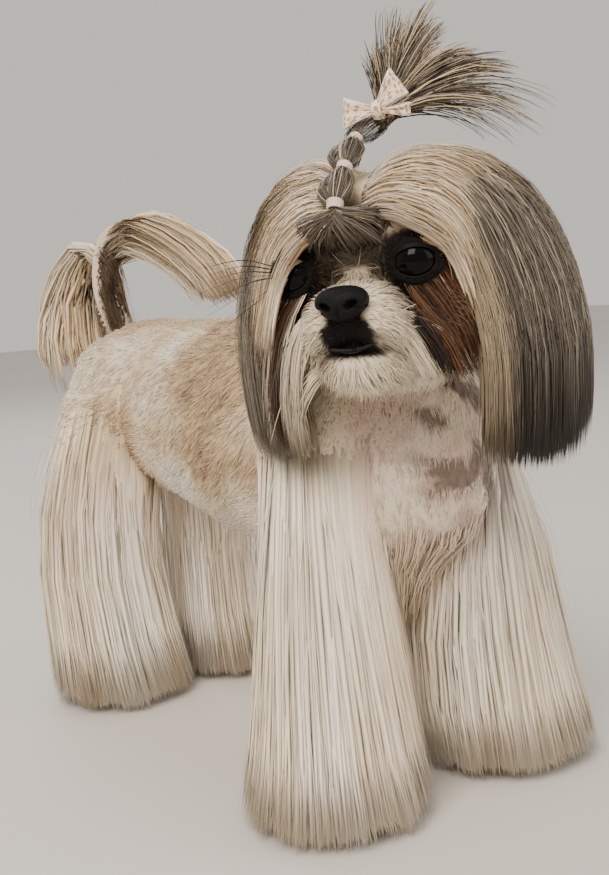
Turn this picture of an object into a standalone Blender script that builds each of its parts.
"""A shih tzu standing with its head turned to its right, life size, as separate solids.

Metres, +Z up. The dog faces -Y, its left side is +X, and its soles stand on z = 0.
"""
import math
import random

import bmesh
import bpy
import numpy as np
from mathutils import Matrix, Vector
from mathutils.bvhtree import BVHTree

# Driving dimensions
GAP = 0.0003
WITHERS_Z = 0.268
BRISKET_Z = 0.116
CHEST_HALF = 0.068
LOIN_HALF = 0.060
FRONT_FOOT = Vector((0.063, -0.139, 0.0))
HIND_FOOT = Vector((0.047, 0.128, 0.0))
SOLE_R = 0.027
FRONT_HEM_R = 0.049
HIND_HEM_R = 0.047
HEAD_AT = Vector((-0.0425, -0.173, 0.285))
HEAD_TURN = math.radians(-55.3)
HEAD_NOD = math.radians(2.9)
HEAD_LEAN = math.radians(-3.4)
EYE_R = 0.0115
EYE_HALF = 0.0277
EYE_SPLAY = math.radians(16)
EYE_Z = 0.0015
SKULL_TOP_R = 0.034
TAIL_TOP_Z = 0.334
ROOT_DEPTH = 0.0028
FLAT_ENOUGH = math.radians(0.6)
EAR_LEATHER = 0.50
HEM_LIFT = 0.0012
BAND_R = 0.0054
BAND_CORD_R = 0.0011

# Places in the head's own axes: its left is +X, it faces -Y
EAR_LINES = {
    1: ((0.026, 0.036), (0.050, 0.038), (0.068, 0.008), (0.077, -0.034), (0.076, -0.068), (0.071, -0.102)),
    -1: ((0.026, 0.036), (0.043, 0.037), (0.056, 0.008), (0.063, -0.030), (0.063, -0.062), (0.059, -0.090)),
}
BROW = (-0.002, -0.047, 0.014)
KNOT_POINTS = (
    (-0.0025, -0.0480, 0.0305), (-0.0025, -0.0270, 0.0470),
    (-0.0015, -0.0070, 0.0605), (0.0105, 0.0080, 0.0700),
)
BOW_AT = (0.0110, 0.0000, 0.0715)
FOUNTAIN = (
    (0.010, 0.018, 0.108), (0.020, 0.026, 0.116), (0.032, 0.030, 0.120), (0.040, 0.034, 0.108),
    (0.056, 0.036, 0.094), (0.074, 0.034, 0.086), (0.084, 0.030, 0.052),
    (0.024, 0.046, 0.096), (0.050, 0.048, 0.076), (0.004, 0.044, 0.082),
)

HEAD = (Matrix.Translation(HEAD_AT) @ Matrix.Rotation(HEAD_TURN, 4, "Z")
        @ Matrix.Rotation(HEAD_NOD, 4, "X") @ Matrix.Rotation(HEAD_LEAN, 4, "Y"))

for old in list(bpy.data.objects):
    bpy.data.objects.remove(old, do_unlink=True)

DOG = bpy.data.collections.new("shih_tzu")
bpy.context.scene.collection.children.link(DOG)
SCRAP = bpy.data.collections.new("pieces")
bpy.context.scene.collection.children.link(SCRAP)


def material(name, colour, roughness):
    """One Principled finish for a node."""
    mat = bpy.data.materials.new(name)
    mat.use_nodes = True
    shader = mat.node_tree.nodes["Principled BSDF"]
    shader.inputs["Base Color"].default_value = (*colour, 1.0)
    shader.inputs["Roughness"].default_value = roughness
    shader.inputs["Metallic"].default_value = 0.0
    return mat


CREAM = material("cream_coat", (0.78, 0.70, 0.58), 0.8)
SABLE = material("sable_coat", (0.30, 0.26, 0.22), 0.8)
WET_BLACK = material("nose_leather", (0.02, 0.02, 0.022), 0.3)
EYE_DARK = material("eye_gloss", (0.012, 0.009, 0.007), 0.05)
BAND = material("elastic", (0.75, 0.66, 0.60), 0.5)
RIBBON = material("ribbon", (0.82, 0.74, 0.62), 0.6)


def raw(name, bm):
    """A loose closed piece, kept with the pieces until a node takes it up."""
    mesh = bpy.data.meshes.new(name)
    bm.to_mesh(mesh)
    bm.free()
    obj = bpy.data.objects.new(name, mesh)
    SCRAP.objects.link(obj)
    return obj


def ball(centre, radii, turn=None, around=20, up=12):
    """An ellipsoid, with its own turn where it has one."""
    bm = bmesh.new()
    bmesh.ops.create_uvsphere(bm, u_segments=around, v_segments=up, radius=1.0)
    place = Matrix.Translation(centre) @ (turn or Matrix.Identity(4)) @ Matrix.Diagonal((*radii, 1.0))
    bmesh.ops.transform(bm, matrix=place, verts=bm.verts)
    return raw("ball", bm)


def smooth_path(points, count):
    """A smooth curve through the points, read at even steps of its parameter."""
    pts = np.array([tuple(p) for p in points], float)
    pad = np.vstack([2 * pts[0] - pts[1], pts, 2 * pts[-1] - pts[-2]])
    out = []
    for s in np.linspace(0.0, len(pts) - 1.0, count):
        i = min(int(s), len(pts) - 2)
        t = s - i
        a, b, c, d = pad[i:i + 4]
        out.append(0.5 * (2 * b + (c - a) * t + (2 * a - 5 * b + 4 * c - d) * t * t
                          + (3 * b - a - 3 * c + d) * t ** 3))
    return [Vector(p) for p in out]


def tube(points, radii, sides=14, flat=1.0, level=False):
    """A limb lofted along points; level keeps every ring in a horizontal plane."""
    bm = bmesh.new()
    rings = []
    side = Vector((1.0, 0.0, 0.0))
    for i, p in enumerate(points):
        ahead = points[min(i + 1, len(points) - 1)] - points[max(i - 1, 0)]
        along = Vector((0, 0, -1)) if level else ahead.normalized()
        side = (side - along * side.dot(along)).normalized()
        other = along.cross(side)
        ring = []
        for k in range(sides):
            a = 2 * math.pi * k / sides
            offset = side * (radii[i] * math.cos(a)) + other * (radii[i] * flat * math.sin(a))
            ring.append(bm.verts.new(p + offset))
        rings.append(ring)
    for low, high in zip(rings, rings[1:]):
        for k in range(sides):
            bm.faces.new((low[k], low[(k + 1) % sides], high[(k + 1) % sides], high[k]))
    bm.faces.new(list(reversed(rings[0])))
    bm.faces.new(rings[-1])
    bmesh.ops.recalc_face_normals(bm, faces=bm.faces)
    return raw("tube", bm)


def settle(obj):
    """The object as its modifiers show it, as a plain mesh."""
    graph = bpy.context.evaluated_depsgraph_get()
    graph.update()
    mesh = bpy.data.meshes.new_from_object(obj.evaluated_get(graph))
    old = obj.data
    obj.modifiers.clear()
    obj.data = mesh
    bpy.data.meshes.remove(old)
    return obj


def drop(objects):
    """Removes pieces that a node has taken up."""
    for obj in list(objects):
        mesh = obj.data
        bpy.data.objects.remove(obj, do_unlink=True)
        bpy.data.meshes.remove(mesh)


def fuse(name, pieces, voxel, ratio, relax=6):
    """Flesh: the pieces run together into one soft closed form with few faces."""
    bm = bmesh.new()
    for piece in pieces:
        bm.from_mesh(piece.data)
    drop(pieces)
    obj = raw(name, bm)
    remesh = obj.modifiers.new("skin", "REMESH")
    remesh.mode = "VOXEL"
    remesh.voxel_size = voxel
    soften = obj.modifiers.new("soften", "SMOOTH")
    soften.factor = 0.5
    soften.iterations = relax
    fewer = obj.modifiers.new("fewer", "DECIMATE")
    fewer.ratio = ratio
    return settle(obj)


def swollen(obj, by=GAP * 1.15):
    """A copy of a node grown by the gap, to cut its neighbour with."""
    bm = bmesh.new()
    bm.from_mesh(obj.data)
    bmesh.ops.triangulate(bm, faces=bm.faces)
    bm.normal_update()
    moves = [(v, v.normal * by) for v in bm.verts]
    for vert, move in moves:
        vert.co += move
    return raw(obj.name + "_room", bm)


def largest(obj):
    """Keeps the largest closed surface, triangulated, with no slivers."""
    bm = bmesh.new()
    bm.from_mesh(obj.data)
    bmesh.ops.triangulate(bm, faces=bm.faces)
    seen = set()
    groups = []
    for face in bm.faces:
        if face in seen:
            continue
        group = [face]
        seen.add(face)
        for item in group:
            for edge in item.edges:
                for near in edge.link_faces:
                    if near not in seen:
                        seen.add(near)
                        group.append(near)
        groups.append(group)
    groups.sort(key=lambda g: -sum(f.calc_area() for f in g))
    loose = [f for g in groups[1:] for f in g]
    bmesh.ops.delete(bm, geom=loose, context="FACES")
    bmesh.ops.dissolve_limit(bm, angle_limit=FLAT_ENOUGH, verts=bm.verts, edges=bm.edges, delimit={"NORMAL"})
    bmesh.ops.triangulate(bm, faces=bm.faces)
    bm.to_mesh(obj.data)
    bm.free()
    return obj


def boolean(obj, operation, cutters, solver="EXACT"):
    """One Boolean of the object with a collection of closed pieces."""
    group = bpy.data.collections.new("operands")
    bpy.context.scene.collection.children.link(group)
    for cutter in cutters:
        group.objects.link(cutter)
    step = obj.modifiers.new(operation.lower(), "BOOLEAN")
    step.operation = operation
    step.operand_type = "COLLECTION"
    step.collection = group
    step.solver = solver
    settle(obj)
    drop(cutters)
    bpy.data.collections.remove(group)
    return largest(obj)


def carve(obj, *neighbours):
    """Cuts room for the neighbours, so that the two meet face to face with the gap."""
    for near in neighbours:
        boolean(obj, "DIFFERENCE", [swollen(near)])
    return obj


def lock(path, facing, width, thick, blunt=0.0):
    """A flat, tapered lock of long hair: diamond rings along a path, ending in a tip."""
    bm = bmesh.new()
    last = len(path) - 1
    rings = []
    for i, p in enumerate(path[:last]):
        s = i / last
        along = (path[i + 1] - path[max(i - 1, 0)]).normalized()
        out = (facing[i] - along * facing[i].dot(along)).normalized()
        side = along.cross(out)
        taper = 1 - (1 - blunt) * max(0.0, (s - 0.3) / 0.7) ** 1.4
        wide = width * (0.70 + 0.30 * min(3 * s, 1.0)) * taper
        deep = max(thick * (1 - 0.55 * s), 0.0010)
        offsets = (side * (wide / 2), out * (deep / 2), side * (-wide / 2), out * (-deep / 2))
        rings.append([bm.verts.new(p + o) for o in offsets])
    tip = bm.verts.new(path[last])
    for low, high in zip(rings, rings[1:]):
        for k in range(4):
            bm.faces.new((low[k], low[(k + 1) % 4], high[(k + 1) % 4], high[k]))
    for k in range(4):
        bm.faces.new((rings[-1][k], rings[-1][(k + 1) % 4], tip))
    bm.faces.new(rings[0])
    bmesh.ops.triangulate(bm, faces=bm.faces)
    bmesh.ops.recalc_face_normals(bm, faces=bm.faces)
    return raw("lock", bm)


class Surface:
    """A closed form that locks are set on or kept clear of."""

    def __init__(self, obj, swell=0.0):
        shape = swollen(obj, swell) if swell else obj
        bm = bmesh.new()
        bm.from_mesh(shape.data)
        bmesh.ops.triangulate(bm, faces=bm.faces)
        self.tree = BVHTree.FromBMesh(bm)
        bm.free()
        if swell:
            drop([shape])

    def holds(self, p):
        """Whether the point is inside, by how often a ray from it leaves the form."""
        ray = Vector((0.31, 0.47, 0.83)).normalized()
        hits = 0
        start = p.copy()
        while True:
            near, _, _, _ = self.tree.ray_cast(start, ray)
            if near is None:
                return hits % 2 == 1
            hits += 1
            start = near + ray * 0.000002

    def height(self, p):
        """Distance outside the surface, negative inside, the way out and the nearest point."""
        near, normal, _, away = self.tree.find_nearest(p)
        if self.holds(p):
            return -away, normal, near
        if away > 0.000001:
            normal = (p - near).normalized()
        return away, normal, near

    def at_height(self, p, rise):
        """The point moved on to the surface's own height of rise."""
        here, normal, near = self.height(p)
        return near + normal * rise

    def meets(self, obj):
        """Whether a piece crosses the surface or lies inside it."""
        bm = bmesh.new()
        bm.from_mesh(obj.data)
        crossed = bool(self.tree.overlap(BVHTree.FromBMesh(bm)))
        inside = any(self.holds(v.co) for v in bm.verts)
        bm.free()
        return crossed or inside


def draped(points, bed, rises, room, spare):
    """Lifts a path's points off the bed that it lies on and clear of its neighbours."""
    path = []
    for i, p in enumerate(points):
        rise = rises[i]
        here = bed.height(p)[0]
        if i == 0 or here < rise:
            p = bed.at_height(p, rise)
        if i > 1:
            for near in room:
                away, normal, _ = near.height(p)
                if away < spare:
                    p = p + normal * (spare - away)
        path.append(p)
    return path


def grow(base, bed, plans, room, draw):
    """Fuses a node's locks on to it; each plan is (points, facing, width, thick, blunt)."""
    grown = []
    for points, facing, width, thick, blunt in plans:
        rises = [-ROOT_DEPTH] + [thick * 0.5 + 0.0010 + 0.0005 * i for i in range(1, len(points))]
        for spare in (0.003, 0.006, 0.010):
            path = draped(points, bed, rises, room, spare)
            path = [Vector((p.x, p.y, max(p.z, HEM_LIFT + 0.0008 * draw.random()))) for p in path]
            outs = facing or [bed.tree.find_nearest(p)[1] for p in path]
            piece = lock(path, outs, width, thick, blunt)
            if not any(near.meets(piece) for near in room):
                grown.append(piece)
                break
            drop([piece])
    return boolean(base, "UNION", grown, "MANIFOLD")


def node(obj, name, mat):
    """Names a finished solid and puts it with the dog."""
    obj.name = name
    obj.data.name = name
    obj.data.materials.clear()
    obj.data.materials.append(mat)
    SCRAP.objects.unlink(obj)
    DOG.objects.link(obj)
    obj.data.shade_smooth()
    obj.data.set_sharp_from_angle(angle=math.radians(45))
    return obj


def in_head(obj):
    """Moves a piece made in the head's own axes to where the head is."""
    obj.data.transform(HEAD)
    return obj


def make_torso():
    """Barrel, chest and croup with the clipped coat on them."""
    sections = (
        (-0.184, 0.014, 0.196, 0.166), (-0.174, 0.036, 0.226, 0.142), (-0.150, 0.056, 0.252, 0.123),
        (-0.110, CHEST_HALF - 0.002, WITHERS_Z - 0.001, BRISKET_Z),
        (-0.060, CHEST_HALF + 0.002, WITHERS_Z, BRISKET_Z - 0.002),
        (-0.010, CHEST_HALF + 0.001, WITHERS_Z - 0.002, 0.119), (0.040, LOIN_HALF + 0.004, 0.264, 0.130),
        (0.090, LOIN_HALF, 0.264, 0.142), (0.130, LOIN_HALF, 0.266, 0.146), (0.160, 0.053, 0.261, 0.152),
        (0.181, 0.038, 0.247, 0.170), (0.190, 0.015, 0.226, 0.196),
    )
    bm = bmesh.new()
    rings = []
    sides = 28
    for y, half, top, low in sections:
        mid, tall = (top + low) / 2, (top - low) / 2
        ring = []
        for k in range(sides):
            a = 2 * math.pi * k / sides
            c, s = math.cos(a), math.sin(a)
            x = half * math.copysign(abs(c) ** 0.9, c)
            ring.append(bm.verts.new((x, y, mid + tall * math.copysign(abs(s) ** 0.9, s))))
        rings.append(ring)
    for near, far in zip(rings, rings[1:]):
        for k in range(sides):
            bm.faces.new((near[k], near[(k + 1) % sides], far[(k + 1) % sides], far[k]))
    bm.faces.new(rings[0])
    bm.faces.new(rings[-1])
    bmesh.ops.recalc_face_normals(bm, faces=bm.faces)
    pieces = [raw("barrel", bm)]
    for side in (-1, 1):
        pieces.append(ball((0.042 * side, -0.116, 0.190), (0.038, 0.046, 0.058)))
        pieces.append(ball((0.036 * side, 0.126, 0.200), (0.034, 0.052, 0.056)))
    return node(fuse("torso", pieces, 0.006, 0.085, relax=14), "torso", CREAM)


def make_neck(torso, head):
    """The short thick neck, under the ears."""
    pieces = [
        ball((0, -0.116, 0.222), (0.056, 0.056, 0.046)),
        ball((-0.010, -0.136, 0.246), (0.051, 0.050, 0.042)),
        ball((-0.024, -0.153, 0.268), (0.044, 0.042, 0.036)),
    ]
    neck = fuse("neck", pieces, 0.006, 0.07)
    return node(carve(neck, torso, head), "neck", CREAM)


def eye_axes(side):
    """The eye's place in the head, with its gaze along -Y of these axes."""
    return Matrix.Translation((EYE_HALF * side, -0.036, EYE_Z)) @ Matrix.Rotation(EYE_SPLAY * side, 4, "Z")


def make_eye(side, name):
    """The eyeball, of which the lids leave a round window."""
    globe = ball((0, 0, 0), (EYE_R, EYE_R, EYE_R), around=14, up=9)
    globe.data.transform(eye_axes(side))
    return node(largest(in_head(globe)), name, EYE_DARK)


def head_core():
    """Skull, cheeks and short muzzle, in the head's own axes."""
    pieces = [
        ball((0, 0.008, 0.012), (0.047, 0.050, SKULL_TOP_R)),
        ball((0, -0.045, -0.020), (0.026, 0.021, 0.017)),
    ]
    for side in (-1, 1):
        pieces.append(ball((0.027 * side, -0.010, -0.017), (0.024, 0.030, 0.029)))
        pieces.append(ball((0.020 * side, -0.027, 0.013), (0.019, 0.016, 0.016)))
        pieces.append(ball((0.0120 * side, -0.053, -0.0230), (0.0145, 0.0130, 0.0115)))
    return fuse("head", pieces, 0.0034, 0.070, relax=4)


def make_head(eyes):
    """The head, with a lid round each eye and the socket behind it."""
    head = head_core()
    lids = []
    for side in (-1, 1):
        lid = ball((0, 0, 0), (EYE_R + 0.0024, EYE_R + 0.0020, EYE_R + 0.0022), around=14, up=8)
        lid.data.transform(eye_axes(side))
        lids.append(lid)
    boolean(head, "UNION", lids)
    windows = []
    for side in (-1, 1):
        window = ball((0, -0.0125, 0), (0.0098, 0.0100, 0.0084), around=14, up=7)
        window.data.transform(eye_axes(side))
        windows.append(window)
    boolean(head, "DIFFERENCE", windows)
    in_head(head)
    return carve(head, *eyes)


def jitter(draw, size):
    """A small random move."""
    return Vector((draw.uniform(-1, 1), draw.uniform(-1, 1), draw.uniform(-1, 1))) * size


def head_plans(side, draw):
    """Locks of one side of the head: crown parted down the middle, cheek and lip."""
    plans = []

    def add(points, width, thick, blunt=0.2):
        jog = [jitter(draw, 0.0012) for _ in points]
        path = [HEAD @ (Vector((p[0] * side, p[1], p[2])) + j) for p, j in zip(points, jog)]
        plans.append((path, None, width, thick, blunt))

    for k in range(6):
        y = -0.026 + 0.014 * k
        swing = 0.010 - 0.004 * k
        add(((0.003, y, 0.047), (0.018, y + 0.002, 0.048), (0.036, y + swing * 0.4, 0.037),
             (0.049, y + swing, 0.008), (0.050, y + swing, -0.008)), 0.014, 0.0030)
    for k in range(3):
        turn = 0.35 + 0.50 * k
        x, y = 0.047 * math.sin(turn), 0.010 + 0.048 * math.cos(turn)
        add(((x, y, 0.024), (x * 1.05, y * 1.05, 0.004), (x * 1.08, y * 1.08, -0.018),
             (x * 1.02, y * 1.04, -0.036)), 0.020, 0.0028)
    drop_z = -0.084 if side < 0 else -0.060
    for k in range(3):
        y = -0.030 + 0.013 * k
        add(((0.038, y, -0.008), (0.048, y + 0.001, -0.026), (0.051, y + 0.003, drop_z * 0.8),
             (0.050, y + 0.004, drop_z)), 0.014, 0.0026)
    for k in range(3):
        y = -0.058 + 0.010 * k
        x = 0.033 + 0.004 * k
        add(((0.019 + 0.005 * k, y, -0.021), (x - 0.004, y, -0.031), (x, y + 0.002, -0.045),
             (x, y + 0.003, -0.056)), 0.012, 0.0022)
    add(((0.004, -0.050, -0.002), (0.006, -0.056, 0.004), (0.008, -0.056, 0.011)), 0.006, 0.0016)
    return plans


def dress_head(head, core, room, seed):
    """Sets the head's locks on it."""
    draw = random.Random(seed)
    plans = head_plans(1, draw) + head_plans(-1, draw)
    grow(head, core, plans, room, draw)
    return node(head, "head", CREAM)


def make_nose(head):
    """The nose leather with its two nostrils."""
    nose = ball((0, -0.0645, -0.0125), (0.0122, 0.0095, 0.0075), around=16, up=10)
    in_head(nose)
    carve(nose, head)
    holes = []
    for side in (-1, 1):
        hole = ball((0.0057 * side, -0.0745, -0.0130), (0.0025, 0.0045, 0.0019),
                    Matrix.Rotation(0.5 * side, 4, "Y"), around=10, up=6)
        holes.append(in_head(hole))
    boolean(nose, "DIFFERENCE", holes)
    return node(nose, "nose", WET_BLACK)


def make_jaw(head, nose, neck, room, seed):
    """The lower jaw with its beard, parted from the lips by the line of the mouth."""
    pieces = [
        ball((0, -0.040, -0.040), (0.022, 0.021, 0.012)),
        ball((0, -0.050, -0.041), (0.014, 0.012, 0.010)),
        ball((0, -0.030, -0.046), (0.019, 0.018, 0.010)),
    ]
    jaw = in_head(fuse("lower_jaw", pieces, 0.003, 0.16, relax=3))
    carve(jaw, head, nose, neck)
    draw = random.Random(seed)
    plans = []
    for k in range(5):
        turn = math.pi * (k - 2) / 4.4
        x, y = math.sin(turn), -math.cos(turn)
        path = [HEAD @ Vector(p) for p in (
            (0.015 * x, -0.042 + 0.011 * y, -0.043), (0.022 * x, -0.043 + 0.016 * y, -0.050),
            (0.024 * x, -0.042 + 0.016 * y, -0.056), (0.022 * x, -0.041 + 0.013 * y, -0.062),
        )]
        plans.append((path, None, 0.014, 0.0024, 0.3))
    grow(jaw, Surface(jaw), plans, room, draw)
    return node(jaw, "lower_jaw", CREAM)


def sheet(place, thick, across, down):
    """A closed blanket: place(u, v) with u from -1 to 1 and v from 0 to 1, thick(u, v) its thickness."""
    bm = bmesh.new()
    faces = ([], [])
    step = 0.01
    for i in range(across + 1):
        u = -1 + 2 * i / across
        for j in range(down + 1):
            v = j / down
            p = place(u, v)
            du = place(min(u + step, 1), v) - place(max(u - step, -1), v)
            dv = place(u, min(v + step, 1)) - place(u, max(v - step, 0))
            n = du.cross(dv).normalized()
            half = thick(u, v) / 2
            faces[0].append(bm.verts.new(p + n * half))
            faces[1].append(bm.verts.new(p - n * half))

    def at(side, i, j):
        return faces[side][i * (down + 1) + j]

    for i in range(across):
        for j in range(down):
            for side in (0, 1):
                a, b, c, d = at(side, i, j), at(side, i + 1, j), at(side, i + 1, j + 1), at(side, i, j + 1)
                tris = ((a, b, c), (a, c, d))
                for tri in tris:
                    bm.faces.new(tri if side == 0 else tuple(reversed(tri)))
    rim = [(i, 0) for i in range(across)] + [(across, j) for j in range(down)]
    rim += [(i, down) for i in range(across, 0, -1)] + [(0, j) for j in range(down, 0, -1)]
    for k, here in enumerate(rim):
        there = rim[(k + 1) % len(rim)]
        bm.faces.new((at(0, *there), at(0, *here), at(1, *here), at(1, *there)))
    bmesh.ops.recalc_face_normals(bm, faces=bm.faces)
    return raw("sheet", bm)


def ear_place(side):
    """Middle surface of an ear: out from the crown, then down, cupped towards the cheek."""
    line = smooth_path([Vector((side * x, 0.0, z)) for x, z in EAR_LINES[side]], 41)

    def place(u, v):
        s = v * 40
        i = min(int(s), 39)
        p = line[i].lerp(line[i + 1], s - i)
        wide = 0.013 + 0.016 * math.sin(min(v / 0.5, 1.0) * math.pi / 2)
        cup = 0.006 * u * u * math.sin(min(v * 2, 1) * math.pi / 2)
        return p + Vector((side * (0.66 * wide * u - cup), 0.004 - 0.010 * v + 0.75 * wide * u, 0.0))
    return place


def ear_locks(side, draw):
    """Long silky locks in tiers on the ear's outer face, and a few on the inner one."""
    place = ear_place(side)
    rows = ((0.16, 0.80, 3, 1, 0.017, 0.0105), (0.26, 0.92, 4, 1, 0.0145, 0.0070),
            (0.37, 1.00, 4, 1, 0.0150, 0.0035), (0.38, 0.97, 2, -1, 0.020, 0.0035))
    plans = []
    for top, low, count, face, width, rise in rows:
        for k in range(count):
            u = -0.80 + 1.60 * (k + 0.5 + 0.3 * (draw.random() - 0.5)) / count
            start = top + 0.03 * (draw.random() - 0.5)
            end = low + 0.05 * (draw.random() - 0.5)
            path = []
            facing = []
            for s in (0.0, 0.20, 0.55, 0.90, 1.0):
                v = min(start + (end - start) * s, 1.0)
                wide = u * (1.0 + 0.12 * s)
                p = place(wide, v)
                across = place(min(wide + 0.05, 1.1), v) - place(wide - 0.05, v)
                out = across.cross(Vector((0, 0, 1))).normalized() * (side * face)
                lift = 0.0030 + rise * min(1.0, 2.2 * s) if s else 0.0
                path.append(HEAD @ (p + out * lift + Vector((0, 0, -0.002 * s))))
                facing.append((HEAD.to_3x3() @ out).normalized())
            plans.append((path, facing, width, 0.0028, 0.35))
    return plans


def make_ear(side, name, head, others, room, seed):
    """A hanging ear: the cupped leather, and the long coat that falls from it."""
    place = ear_place(side)
    ear = sheet(lambda u, v: place(u, v * EAR_LEATHER),
                lambda u, v: 0.0065 - 0.0015 * u * u, 5, 6)
    in_head(ear)
    carve(ear, head, *others)
    draw = random.Random(seed)
    grow(ear, Surface(ear), ear_locks(side, draw), room, draw)
    return node(ear, name, SABLE)


def level_at(points, z):
    """Where a leg's line crosses the level z."""
    for high, low in zip(points, points[1:]):
        if z >= low.z:
            return high.lerp(low, (high.z - z) / (high.z - low.z))
    return points[-1].copy()


def leg_locks(points, core, outline, tiers, draw):
    """Long straight locks in tiers, hanging round a leg to a level hem."""
    line = smooth_path(points, 25)
    heights = [p.z for p in points]
    plans = []
    for top, low, count, width, thick in tiers:
        for k in range(count):
            turn = 2 * math.pi * (k + 0.30 * draw.random()) / count + 2.4 * top / 0.05
            start = top + 0.014 * (draw.random() - 0.5)
            end = low + 0.006 * draw.random()
            drift = 0.22 * (draw.random() - 0.5)
            path = []
            facing = []
            for s in (0.0, 0.20, 0.58, 0.94, 1.0):
                z = start + (end - start) * s
                inner = float(np.interp(-z, [-h for h in heights], core))
                outer = float(np.interp(-z, [-h for h in heights], outline))
                ease = s ** 0.9
                r = inner + (outer - inner - thick / 2) * ease
                a = turn + drift * s
                out = Vector((math.cos(a), math.sin(a), 0.0))
                middle = level_at(line, z)
                r = r if s else r - ROOT_DEPTH
                path.append(Vector((middle.x, middle.y, z)) + out * r)
                facing.append(out)
            plans.append((path, facing, width, thick, 0.55))
    return plans


def make_leg(name, points, core, outline, tiers, torso, room, seed):
    """A leg: a core on a flat sole, with the long coat hanging round it."""
    draw = random.Random(seed)
    path = smooth_path(points, 9)
    knots = [p.z for p in points]
    sizes = [float(np.interp(-p.z, [-h for h in knots], core)) for p in path]
    leg = carve(tube(path, sizes, sides=12, level=True), torso)
    bed = Surface(leg)
    grow(leg, bed, leg_locks(points, core, outline, tiers, draw), room, draw)
    return node(leg, name, CREAM)


def front_leg(side, torso, room):
    """Foreleg, from the shoulder down, with a bell shaped hem."""
    foot = Vector((FRONT_FOOT.x * side, FRONT_FOOT.y, 0))
    points = [Vector((0.050 * side, -0.116, 0.196)), Vector((0.056 * side, -0.124, 0.150)),
              Vector((0.060 * side, -0.132, 0.080)), foot]
    tiers = ((0.158, 0.060, 4, 0.032, 0.0034), (0.112, 0.022, 5, 0.034, 0.0034),
             (0.070, HEM_LIFT, 7, 0.040, 0.0036))
    name = "leg_front_left" if side > 0 else "leg_front_right"
    outline = [0.030, 0.047, 0.049, FRONT_HEM_R] if side > 0 else [0.024, 0.034, 0.040, FRONT_HEM_R]
    return make_leg(name, points, [0.021, 0.029, 0.029, SOLE_R], outline, tiers, torso, room, 11 + side)


def hind_leg(side, torso, room):
    """Hind leg, with the coat of the thigh falling straight to the floor."""
    foot = Vector((HIND_FOOT.x * side, HIND_FOOT.y, 0))
    points = [Vector((0.045 * side, 0.125, 0.215)), Vector((0.050 * side, 0.142, 0.150)),
              Vector((0.050 * side, 0.145, 0.080)), foot]
    tiers = ((0.172, 0.070, 4, 0.036, 0.0036), (0.122, 0.024, 6, 0.034, 0.0036),
             (0.074, HEM_LIFT, 7, 0.039, 0.0036))
    name = "leg_hind_left" if side > 0 else "leg_hind_right"
    outline = [0.036, 0.047, 0.045, HIND_HEM_R]
    return make_leg(name, points, [0.032, 0.038, 0.032, SOLE_R], outline, tiers, torso, room, 21 + side)


def tail_path():
    """The tail's own line: up from the croup, over, and down on to the back."""
    return smooth_path([Vector((-0.002, 0.176, 0.248)), Vector((-0.008, 0.190, 0.285)),
                        Vector((-0.006, 0.178, 0.320)), Vector((0.004, 0.145, TAIL_TOP_Z - 0.012)),
                        Vector((0.012, 0.105, 0.308)), Vector((0.018, 0.075, 0.284))], 31)


def tail_plans(name, path, draw):
    """Where the plume's locks leave each length of the tail."""
    plans = []

    def add(points, width, thick=0.0026):
        jog = [jitter(draw, 0.002) for _ in points]
        plans.append(([p + j for p, j in zip(points, jog)], None, width, thick, 0.15))

    if name == "tail_root":
        for k in range(6):
            fan = -0.5 + k / 5
            start = path[6 + k % 4]
            reach = Vector((-0.016 + 0.020 * fan, 0.034 + 0.008 * math.cos(3 * fan), 0.0))
            fall = 0.050 + 0.045 * draw.random()
            add((start, start + reach * 0.55 + Vector((0, 0, 0.010)),
                 start + reach + Vector((0, 0, -0.30 * fall)),
                 start + reach * 1.15 + Vector((-0.004, 0, -0.7 * fall)),
                 start + reach * 1.05 + Vector((-0.004, 0, -fall))), 0.012)
    if name == "tail_arch":
        for k in range(8):
            side = -1 if k % 2 else 1
            start = path[11 + k]
            ahead = Vector((0.010 * side + 0.006, -0.052, 0.0))
            out = 0.010 * side
            add((start, start + Vector((out, -0.018, 0.006)), start + ahead * 0.62 + Vector((out, 0, -0.002)),
                 start + ahead + Vector((1.2 * out, 0, -0.022)),
                 start + ahead * 1.15 + Vector((1.2 * out, 0, -0.038))), 0.013)
    if name == "tail_tip":
        for k in range(6):
            fan = -0.5 + k / 5
            start = path[23 + k % 5]
            add((start, start + Vector((0.014 * fan, -0.016, 0.004)),
                 start + Vector((0.034 * fan + 0.006, -0.034, -0.008)),
                 start + Vector((0.048 * fan + 0.010, -0.046, -0.026))), 0.012)
    return plans


def make_tail(torso, room):
    """The tail in three lengths parted with thin cuts, each with its share of the plume."""
    path = tail_path()
    parts = (("tail_root", 0, 10), ("tail_arch", 10, 22), ("tail_tip", 22, 30))
    made = []
    for name, first, last in parts:
        stretch = path[first:last + 1:2]
        radii = [0.0085 - 0.0015 * (first + 2 * k) / 30 for k in range(len(stretch))]
        piece = carve(tube(stretch, radii, sides=8), torso, *made)
        made.append(piece)
    finished = []
    for seed, ((name, _, _), piece) in enumerate(zip(parts, made)):
        draw = random.Random(40 + seed)
        others = room + [Surface(p, GAP) for p in made if p is not piece]
        grow(piece, Surface(piece), tail_plans(name, path, draw), others, draw)
        finished.append(node(piece, name, CREAM))
    return finished


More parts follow.
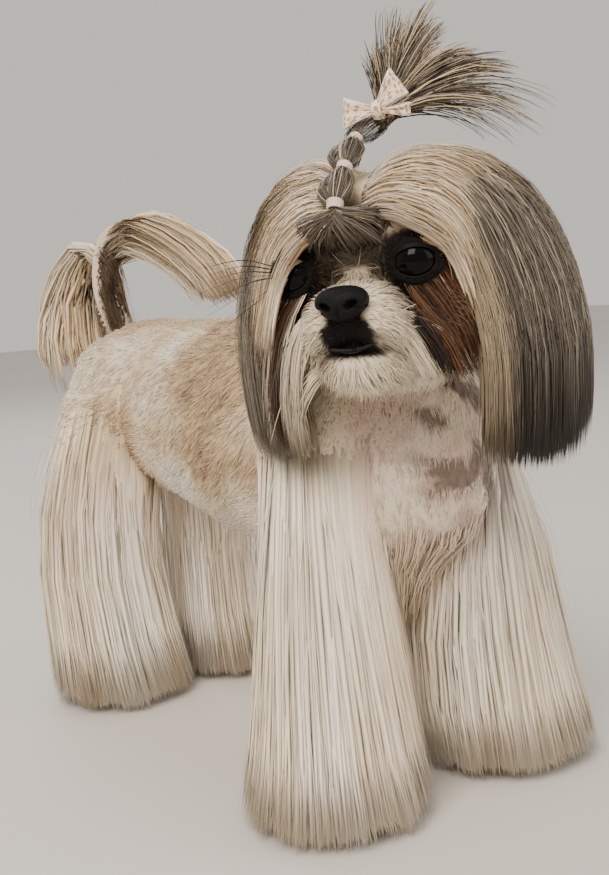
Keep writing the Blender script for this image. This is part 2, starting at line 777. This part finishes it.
def make_forelock(head, bands, room):
    """Hair from the brow, drawn up to a strand that runs through the three bands."""
    knots = [Vector(p) for p in KNOT_POINTS]
    path = smooth_path([Vector(BROW), knots[0]], 3) + smooth_path(knots, 10)[1:]
    radii = [0.011, 0.0100, 0.0040] + [0.0070, 0.0068, 0.0040] * 3
    strand = in_head(tube(path, radii, sides=8, flat=0.8))
    carve(strand, head, *bands)
    bed = Surface(strand)
    plans = []
    for k in range(6):
        fan = -1 + 2 * k / 5
        back = abs(fan)
        points = ((-0.0030 + 0.002 * fan, -0.0505, 0.0245), (-0.003 + 0.010 * fan, -0.0535, 0.0175),
                  (-0.002 + 0.017 * fan, -0.0520 + 0.004 * back, 0.0110),
                  (-0.001 + 0.021 * fan, -0.0500 + 0.006 * back, 0.0060))
        plans.append(([HEAD @ Vector(p) for p in points], None, 0.0080, 0.0022, 0.3))
    grow(strand, bed, plans, room, random.Random(51))
    return node(strand, "forelock", SABLE)


def make_band(name, at, along):
    """A small elastic ring round the strand."""
    bm = bmesh.new()
    around, across = 12, 5
    grid = []
    for i in range(around):
        a = 2 * math.pi * i / around
        ring = []
        for j in range(across):
            b = 2 * math.pi * j / across
            r = BAND_R + BAND_CORD_R * math.cos(b)
            ring.append(bm.verts.new((r * math.cos(a), r * math.sin(a), BAND_CORD_R * math.sin(b))))
        grid.append(ring)
    for i in range(around):
        for j in range(across):
            near = grid[(i + 1) % around]
            bm.faces.new((grid[i][j], near[j], near[(j + 1) % across], grid[i][(j + 1) % across]))
    bmesh.ops.recalc_face_normals(bm, faces=bm.faces)
    ring = raw(name, bm)
    turn = Vector((0, 0, 1)).rotation_difference(along).to_matrix().to_4x4()
    ring.data.transform(Matrix.Translation(at) @ turn)
    return node(in_head(ring), name, BAND)


def make_topknot(forelock, room):
    """The free end of the hair above the bow: a fountain that falls over to the dog's left."""
    base = Vector(KNOT_POINTS[3]) + Vector((0.0006, 0.0008, 0.0016))
    stem = smooth_path([base, base + Vector((0.003, 0.005, 0.010)), base + Vector((0.008, 0.011, 0.020))], 4)
    hair = in_head(tube(stem, [0.0046, 0.0066, 0.0064, 0.0040], sides=8))
    carve(hair, forelock)
    draw = random.Random(61)
    plans = []
    for tip in FOUNTAIN:
        end = Vector(tip)
        span = end - base
        rise = Vector((0.12 * span.x, 0.12 * span.y, 0.014 + 0.10 * span.length))
        arch = 0.25 + 3.2 * abs(tip[0])
        points = [base + Vector((0.001, 0.002, 0.004)) + span * s + rise * (4 * s * (1 - s) * arch)
                  for s in (0.0, 0.30, 0.62, 0.88, 1.0)]
        plans.append(([HEAD @ p for p in points], None, 0.0085, 0.0020, 0.1))
    grow(hair, Surface(hair), plans, room, draw)
    return node(hair, "topknot", SABLE)


def loop(width, height, wall, tall):
    """One flat loop of ribbon: a closed band, open through its middle."""
    curve = bpy.data.curves.new("loop", "CURVE")
    curve.dimensions = "2D"
    curve.fill_mode = "BOTH"
    curve.extrude = tall / 2
    for inset in (0.0, wall):
        spline = curve.splines.new("POLY")
        count = 10
        spline.points.add(count - 1)
        for k in range(count):
            a = 2 * math.pi * k / count
            pinch = 0.45 + 0.55 * (0.5 + 0.5 * math.cos(a)) ** 0.7
            x = (width / 2 - inset) * math.cos(a)
            y = (height / 2 - inset * 0.8) * pinch * math.sin(a)
            spline.points[k].co = (x, y, 0, 1)
        spline.use_cyclic_u = True
    holder = bpy.data.objects.new("loop_curve", curve)
    SCRAP.objects.link(holder)
    graph = bpy.context.evaluated_depsgraph_get()
    mesh = bpy.data.meshes.new_from_object(holder.evaluated_get(graph))
    bpy.data.objects.remove(holder)
    bm = bmesh.new()
    bm.from_mesh(mesh)
    bmesh.ops.remove_doubles(bm, verts=bm.verts, dist=0.00001)
    bmesh.ops.recalc_face_normals(bm, faces=bm.faces)
    return raw("loop", bm)


def make_bow(forelock, topknot, room):
    """A small ribbon bow: two open loops, a knot and two short ends."""
    pieces = []
    for side, width, lift in ((1, 0.0165, 0.42), (-1, 0.0145, 0.10)):
        piece = loop(width, 0.0100, 0.0008, 0.0080)
        turn = Matrix.Rotation(-lift * side, 4, "Y")
        flip = Matrix.Rotation(math.pi if side < 0 else 0, 4, "Y")
        piece.data.transform(turn @ flip @ Matrix.Translation((width / 2, 0, 0)))
        pieces.append(piece)
    for side in (-1, 1):
        end = ball((0.006 * side, -0.0005, -0.0065), (0.0026, 0.0008, 0.0062),
                   Matrix.Rotation(-0.7 * side, 4, "Y"), around=8, up=6)
        pieces.append(end)
    knot = ball((0, 0, 0), (0.0032, 0.0040, 0.0040), around=10, up=6)
    boolean(knot, "UNION", pieces, "MANIFOLD")
    knot.data.transform(Matrix.Translation(BOW_AT))
    in_head(knot)
    carve(knot, forelock, topknot)
    return node(knot, "bow", RIBBON)


def stand_on_origin():
    """Moves the whole dog so that its box stands centred on the origin."""
    points = np.array([tuple(v.co) for obj in DOG.objects for v in obj.data.vertices])
    low, high = points.min(0), points.max(0)
    shift = Matrix.Translation((-(low[0] + high[0]) / 2, -(low[1] + high[1]) / 2, -low[2]))
    for obj in DOG.objects:
        obj.data.transform(shift)


torso = make_torso()
eyes = [make_eye(1, "eye_left"), make_eye(-1, "eye_right")]
head = make_head(eyes)
neck = make_neck(torso, head)
nose = make_nose(head)
trunk = [Surface(torso, GAP), Surface(neck, GAP)]
skull = Surface(head)
skull_room = Surface(head, GAP)
jaw = make_jaw(head, nose, neck, [skull_room, Surface(nose, GAP)] + trunk, 31)

legs = []
for maker in (front_leg, hind_leg):
    for side in (1, -1):
        legs.append(maker(side, torso, trunk + [Surface(leg, GAP) for leg in legs]))
leg_room = [Surface(leg, GAP) for leg in legs]

bands = []
for index, name in enumerate(("band_low", "band_mid", "band_high")):
    here = Vector(KNOT_POINTS[index])
    after = Vector(KNOT_POINTS[index + 1])
    before = Vector(KNOT_POINTS[index - 1]) if index else Vector(BROW)
    bands.append(make_band(name, here, (after - before).normalized()))
band_room = [Surface(band, GAP) for band in bands]
forelock = make_forelock(head, bands, [skull_room, Surface(nose, GAP)] + band_room)
tied = band_room + [Surface(forelock, GAP)]
topknot = make_topknot(forelock, [skull_room] + tied)
tied.append(Surface(topknot, GAP))
bow = make_bow(forelock, topknot, tied)
tied.append(Surface(bow, GAP))

ears = []
for side, name in ((1, "ear_left"), (-1, "ear_right")):
    near = trunk + leg_room + tied + [skull_room]
    ears.append(make_ear(side, name, head, [torso, neck, legs[1]], near, 70 + side))
ear_room = [Surface(ear, GAP) for ear in ears]
worn = [Surface(piece, GAP) for piece in (*eyes, nose, jaw)]
head = dress_head(head, skull, worn + ear_room + tied + trunk + leg_room, 80)
tail = make_tail(torso, trunk + leg_room)
stand_on_origin()
